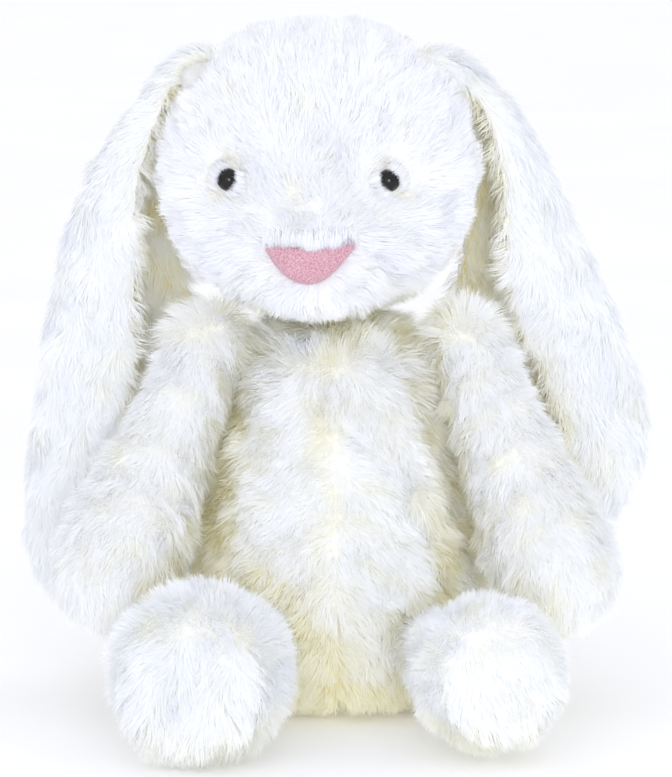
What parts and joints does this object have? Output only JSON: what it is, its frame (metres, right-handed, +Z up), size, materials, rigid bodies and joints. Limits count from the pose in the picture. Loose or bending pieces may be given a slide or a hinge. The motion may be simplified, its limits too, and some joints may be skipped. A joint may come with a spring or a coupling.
{
  "type": "stuffed rabbit toy",
  "caption": "Seated stuffed toy rabbit in long white fur fabric, with long drooping ears, pellet-weighted seat, pink nose patch, black bead eyes and limbs that swing at their seams.",
  "frame": {"origin": "centre of the flat round seat panel, on the surface that the toy sits on", "axes": "+Z up, the face looks along -Y, +X towards the rabbit's own left"},
  "size_m": [0.26, 0.2351, 0.2769],
  "materials": {
    "fur": "long soft combed pile, white",
    "ear_lining": "smooth short pile, cream",
    "nose_velour": "short-nap velour, dusty pink",
    "eye_bead": "polished black",
    "washer_plastic": "moulded, natural",
    "stuffing": "loose polyester fibre",
    "pouch_cloth": "plain woven",
    "pellets": "round pellets, packed loosely",
    "label_tape": "blank woven tape"
  },
  "bodies": {
    "torso": {"torso_front_left": "fur", "torso_front_right": "fur", "torso_back": "fur", "torso_seat": "fur", "torso_stuffing": "stuffing", "bean_pouch": "pouch_cloth", "bean_pellets": "pellets", "tail_skin": "fur", "tail_stuffing": "stuffing", "side_label": "label_tape"},
    "head": {"head_side_left": "fur", "head_side_right": "fur", "head_gusset": "fur", "muzzle_panel": "fur", "head_stuffing": "stuffing", "nose_patch": "nose_velour", "eye_left": "eye_bead", "eye_right": "eye_bead", "eye_washer_left": "washer_plastic", "eye_washer_right": "washer_plastic"},
    "ear_left": {"ear_left_fur": "fur", "ear_left_lining": "ear_lining"},
    "ear_right": {"ear_right_fur": "fur", "ear_right_lining": "ear_lining"},
    "arm_left": {"arm_left_outer": "fur", "arm_left_inner": "fur", "arm_left_stuffing": "stuffing"},
    "arm_right": {"arm_right_outer": "fur", "arm_right_inner": "fur", "arm_right_stuffing": "stuffing"},
    "leg_left": {"leg_left_outer": "fur", "leg_left_inner": "fur", "leg_left_sole": "fur", "leg_left_stuffing": "stuffing"},
    "leg_right": {"leg_right_outer": "fur", "leg_right_inner": "fur", "leg_right_sole": "fur", "leg_right_stuffing": "stuffing"}
  },
  "joints": [
    {"name": "neck_nod", "type": "hinge", "parent": "torso", "child": "head", "pos_m": [0, 0, 0.133], "axis": [1, 0, 0], "range_deg": [-15, 4]},
    {"name": "ear_left_swing", "type": "hinge", "parent": "head", "child": "ear_left", "pos_m": [0.04, 0.003, 0.256], "axis": [0, -1, 0], "range_deg": [0, 80]},
    {"name": "ear_right_swing", "type": "hinge", "parent": "head", "child": "ear_right", "pos_m": [-0.054, 0.003, 0.256], "axis": [0, 1, 0], "range_deg": [0, 80]},
    {"name": "arm_left_swing", "type": "hinge", "parent": "torso", "child": "arm_left", "pos_m": [0.051, -0.012, 0.1475], "axis": [-0.7071, -0.7071, 0], "range_deg": [0, 75]},
    {"name": "arm_right_swing", "type": "hinge", "parent": "torso", "child": "arm_right", "pos_m": [-0.051, -0.012, 0.1475], "axis": [-0.7071, 0.7071, 0], "range_deg": [0, 75]},
    {"name": "leg_left_swing", "type": "hinge", "parent": "torso", "child": "leg_left", "pos_m": [0.038, -0.058, 0.03], "axis": [1, 0, 0], "range_deg": [-20, 40]},
    {"name": "leg_right_swing", "type": "hinge", "parent": "torso", "child": "leg_right", "pos_m": [-0.038, -0.058, 0.03], "axis": [1, 0, 0], "range_deg": [-20, 40]}
  ]
}
